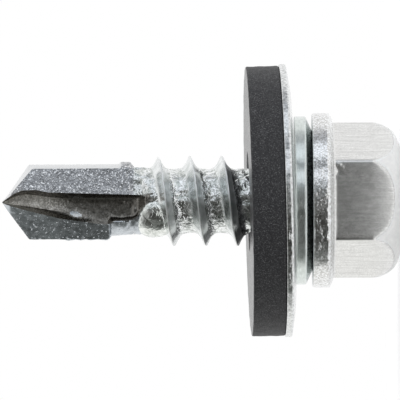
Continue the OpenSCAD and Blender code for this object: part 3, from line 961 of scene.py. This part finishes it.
def push_rubber(v):
    """Rough cut edge and a faintly wavy free face."""
    rough = 0.018 * noise(v, 0.35, 51) + 0.014 * noise(v, 0.13, 52)
    v = uneven_rim(v, 7.5, 7.8, rough - 0.02)
    face = smooth(v[:, 2], PLATE_T + 1.7, PLATE_T + 1.9)
    v[:, 2] += face * (0.012 * noise(v, 0.4, 53) - 0.012)
    return v


def rubber_kind(r, z):
    """The free face has a finish of its own."""
    return 1 if z > FREE_Z - 0.01 else 0


rubber_profile = rounded([(SEAL_BORE_R, PLATE_T), (RUBBER_R, PLATE_T), (RUBBER_R, FREE_Z),
                          (BEVEL_R, FREE_Z), (SEAL_BORE_R, FREE_Z - BEVEL_H)], 0.1)
ring = turned("seal_rubber_skin", rubber_profile, 320, 0.1, [rubber(), rubber_face()], push_rubber, seat,
              rubber_kind)
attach(ring, "sealing_washer_body")
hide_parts("seal_rubber")


# Studio: a white tent with a grey side towards the camera, a pale floor

def build_world():
    """The tent shows in the metal. The camera itself sees plain white."""
    world = bpy.data.worlds.new("studio")
    bpy.context.scene.world = world
    world.use_nodes = True
    tree = world.node_tree
    tree.nodes.clear()
    new, link = tree.nodes.new, tree.links.new

    def math_node(op, a, b=None):
        node = new("ShaderNodeMath")
        node.operation = op
        for value, socket in ((a, node.inputs[0]), (b, node.inputs[1])):
            if value is None:
                continue
            if isinstance(value, bpy.types.NodeSocket):
                link(value, socket)
            else:
                socket.default_value = value
        return node.outputs[0]

    coord = new("ShaderNodeTexCoord")
    split = new("ShaderNodeSeparateXYZ")
    link(coord.outputs["Generated"], split.inputs[0])
    angle = math_node("ARCTAN2", split.outputs["X"], math_node("MULTIPLY", split.outputs["Y"], -1.0))
    turn = math_node("ADD", math_node("DIVIDE", angle, 2 * math.pi), 0.5)
    ramp = new("ShaderNodeValToRGB")
    link(turn, ramp.inputs["Fac"])
    elements = ramp.color_ramp.elements
    # Angle about the screw from the camera's side towards image-up, in degrees, and its colour
    stops = [(-180, (1.0, 1.0, 1.0)), (-108, (1.0, 1.0, 0.98)), (-84, (0.2, 0.21, 0.2)),
             (-60, (0.07, 0.07, 0.066)), (-20, (0.055, 0.055, 0.05)), (-6, (0.165, 0.165, 0.16)),
             (8, (0.18, 0.185, 0.185)), (20, (0.28, 0.3, 0.31)), (29, (1.0, 1.04, 1.1)),
             (38, (1.0, 1.04, 1.1)), (46, (0.3, 0.32, 0.34)), (54, (0.34, 0.36, 0.38)),
             (62, (1.05, 1.1, 1.16)), (78, (0.95, 0.99, 1.05)), (88, (0.4, 0.41, 0.43)),
             (98, (0.45, 0.46, 0.48)), (116, (1.0, 1.0, 1.0)), (180, (1.0, 1.0, 1.0))]
    while len(elements) > 1:
        elements.remove(elements[-1])
    for i, (deg, colour) in enumerate(stops):
        position = (deg + 180) / 360
        element = elements[0] if i == 0 else elements.new(position)
        element.position = position
        element.color = (*colour, 1.0)
    pole = math_node("POWER", math_node("ABSOLUTE", split.outputs["Z"]), 3.0)
    tent = new("ShaderNodeMix")
    tent.data_type = "RGBA"
    link(pole, tent.inputs["Factor"])
    colours = [s for s in tent.inputs if s.type == "RGBA"]
    link(ramp.outputs["Color"], colours[0])
    colours[1].default_value = (0.95, 0.95, 0.95, 1.0)
    tent_out = [s for s in tent.outputs if s.type == "RGBA"][0]
    seen = new("ShaderNodeBackground")
    seen.inputs["Color"].default_value = (1, 1, 1, 1)
    studio = new("ShaderNodeBackground")
    link(tent_out, studio.inputs["Color"])
    path = new("ShaderNodeLightPath")
    mix = new("ShaderNodeMixShader")
    link(path.outputs["Is Camera Ray"], mix.inputs["Fac"])
    link(studio.outputs[0], mix.inputs[1])
    link(seen.outputs[0], mix.inputs[2])
    out = new("ShaderNodeOutputWorld")
    link(mix.outputs[0], out.inputs["Surface"])


FLOOR_SIDES = 96
FLOOR_R = 0.042
FLOOR_Z = -0.00002
FLOOR_GLOW = 0.32


def build_floor():
    """A pale disc that takes the shadow. Its glow shows to the camera and in the metal."""
    mesh = bpy.data.meshes.new("floor")
    turns = np.linspace(0, 2 * math.pi, FLOOR_SIDES, endpoint=False)
    verts = [(FLOOR_R * math.cos(a), FLOOR_R * math.sin(a), FLOOR_Z) for a in turns]
    mesh.from_pydata(verts, [], [tuple(range(FLOOR_SIDES))])
    obj = bpy.data.objects.new("floor", mesh)
    bpy.context.scene.collection.objects.link(obj)
    mat = bpy.data.materials.new("floor_pale")
    mat.use_nodes = True
    tree = mat.node_tree
    tree.nodes.clear()
    diffuse = tree.nodes.new("ShaderNodeBsdfDiffuse")
    diffuse.inputs["Color"].default_value = (0.8, 0.8, 0.8, 1)
    glow = tree.nodes.new("ShaderNodeEmission")
    path = tree.nodes.new("ShaderNodeLightPath")
    seen = tree.nodes.new("ShaderNodeMath")
    seen.operation = "MAXIMUM"
    tree.links.new(path.outputs["Is Camera Ray"], seen.inputs[0])
    tree.links.new(path.outputs["Is Glossy Ray"], seen.inputs[1])
    boost = tree.nodes.new("ShaderNodeMath")
    boost.operation = "MULTIPLY"
    boost.inputs[1].default_value = FLOOR_GLOW
    tree.links.new(seen.outputs[0], boost.inputs[0])
    tree.links.new(boost.outputs[0], glow.inputs["Strength"])
    add = tree.nodes.new("ShaderNodeAddShader")
    out = tree.nodes.new("ShaderNodeOutputMaterial")
    tree.links.new(diffuse.outputs[0], add.inputs[0])
    tree.links.new(glow.outputs[0], add.inputs[1])
    tree.links.new(add.outputs[0], out.inputs["Surface"])
    mesh.materials.append(mat)


def area(name, place, target, size, watts):
    """A round lamp that doesn't show in the metal."""
    data = bpy.data.lights.new(name, "AREA")
    data.shape = "DISK"
    data.size = size
    data.energy = watts
    obj = bpy.data.objects.new(name, data)
    bpy.context.scene.collection.objects.link(obj)
    obj.location = place
    obj.rotation_euler = (Vector(target) - Vector(place)).to_track_quat("-Z", "Y").to_euler()
    obj.visible_glossy = False


build_world()
build_floor()
area("key", (0.10, -0.12, 0.2), (0, 0, 0.01), 0.12, 0.12)

# Camera: image-up is +X, and the drill point is on the left

CAMERA_PLACE = (0.000065, -0.4, 0.01199)
CAMERA_LENS = 612
ROLL = math.radians(-0.35)

camera_data = bpy.data.cameras.new("camera")
camera_data.sensor_width = 36
camera_data.lens = CAMERA_LENS
camera_data.clip_start = 0.01
camera_data.clip_end = 10
camera = bpy.data.objects.new("camera", camera_data)
bpy.context.scene.collection.objects.link(camera)
right, up, backward = Vector((0, 0, -1)), Vector((1, 0, 0)), Vector((0, -1, 0))
turn = Matrix((right, up, backward)).transposed().to_4x4()
camera.matrix_world = Matrix.Translation(CAMERA_PLACE) @ turn @ Matrix.Rotation(ROLL, 4, "Z")
bpy.context.scene.camera = camera

bpy.context.scene.view_settings.view_transform = "Standard"
